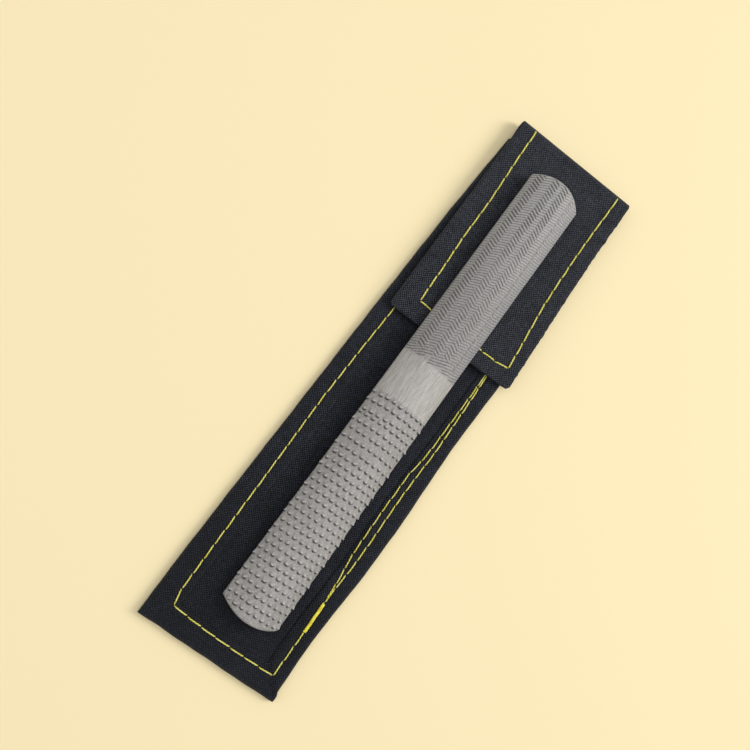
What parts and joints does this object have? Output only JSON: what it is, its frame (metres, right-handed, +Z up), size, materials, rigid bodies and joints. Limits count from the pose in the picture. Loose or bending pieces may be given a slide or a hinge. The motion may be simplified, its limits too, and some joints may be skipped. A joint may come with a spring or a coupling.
{
  "type": "half-round wood rasp with cloth sheath",
  "caption": "Half-round hand rasp and file with a coarse toothed end and a fine cut end, lying on a folding-flap cloth sheath sewn with contrasting thread.",
  "frame": {"origin": "centre of the sheath's back face, on the surface it lies on", "axes": "+Z up out of the sheath, +Y along the sheath towards the fold of its flap (the fine-cut end of the rasp), +X to the right"},
  "size_m": [0.059, 0.2329, 0.0149],
  "materials": {
    "steel": "brushed and cut, satin",
    "body_cloth": "tight plain weave, lightly coated",
    "flap_cloth": "tight plain weave, lightly coated",
    "yellow_thread": "twisted polyester thread",
    "tack_thread": "dense overstitched thread",
    "dark_thread": "twisted polyester thread",
    "loop_pile": "soft brushed loop pile",
    "hook_tape": "moulded nylon hooks on woven tape"
  },
  "bodies": {
    "pouch": {"back_panel": "body_cloth", "front_panel": "body_cloth", "pocket_seam_thread": "yellow_thread", "second_seam_thread": "yellow_thread", "bar_tack_thread": "tack_thread", "mouth_hem_thread": "yellow_thread", "pocket_loop_patch": "loop_pile", "loop_patch_thread": "dark_thread"},
    "flap": {"flap_panel": "flap_cloth", "flap_seam_thread": "yellow_thread", "flap_hook_patch": "hook_tape", "hook_patch_thread": "dark_thread"},
    "rasp": {"rasp_blade": "steel"}
  },
  "joints": [
    {"name": "rasp_lift", "type": "slide", "parent": "pouch", "child": "rasp", "axis": [0, 0, 1], "range_m": [0, 0.32]},
    {"name": "flap_fold", "type": "hinge", "parent": "pouch", "child": "flap", "pos_m": [0, 0.11227, 0.0031], "axis": [-0.9977, -0.068, 0], "range_deg": [0, 179]}
  ],
  "couplings": [
    {"joint": "flap_fold", "follows": "rasp_lift", "rad_per_m": 9.7629}
  ]
}
